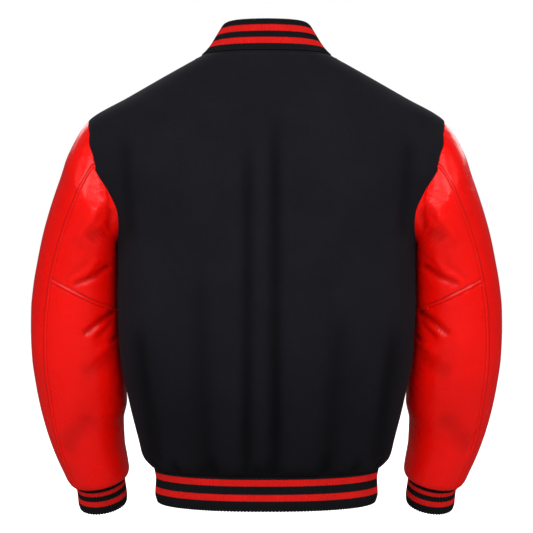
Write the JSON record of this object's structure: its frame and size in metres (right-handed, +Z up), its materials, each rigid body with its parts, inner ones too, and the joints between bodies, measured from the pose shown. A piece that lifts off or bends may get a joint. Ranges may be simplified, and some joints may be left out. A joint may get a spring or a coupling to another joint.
{
  "type": "varsity jacket",
  "caption": "Varsity jacket in its worn shape, with a wool body, leather sleeves and striped ribbed knit at the neck, wrists and waist.",
  "frame": {"origin": "between the shoulders, midway between the two side neck points and level with them, where the wearer holds the jacket up", "axes": "+Z up, the front faces -Y, +X is the wearer's left"},
  "size_m": [0.7034, 0.2858, 0.7364],
  "materials": {
    "wool": "felted wool with a short matt nap, near black",
    "sleeve_leather": "smooth finished leather with a soft gloss, bright red",
    "rib_knit": "ribbed knit, near black with two red stripes",
    "snap_cap": "black enamelled snap caps"
  },
  "bodies": {
    "root": {"back": "wool", "left_front": "wool", "right_front": "wool", "left_top_sleeve": "sleeve_leather", "right_top_sleeve": "sleeve_leather", "left_upper_under_sleeve": "sleeve_leather", "right_upper_under_sleeve": "sleeve_leather", "left_lower_under_sleeve": "sleeve_leather", "right_lower_under_sleeve": "sleeve_leather", "left_cuff": "rib_knit", "right_cuff": "rib_knit", "waistband": "rib_knit", "collar": "rib_knit", "snap_1": "snap_cap", "snap_2": "snap_cap", "snap_3": "snap_cap", "snap_4": "snap_cap", "snap_5": "snap_cap", "snap_6": "snap_cap", "snap_7": "snap_cap"}
  },
  "joints": []
}
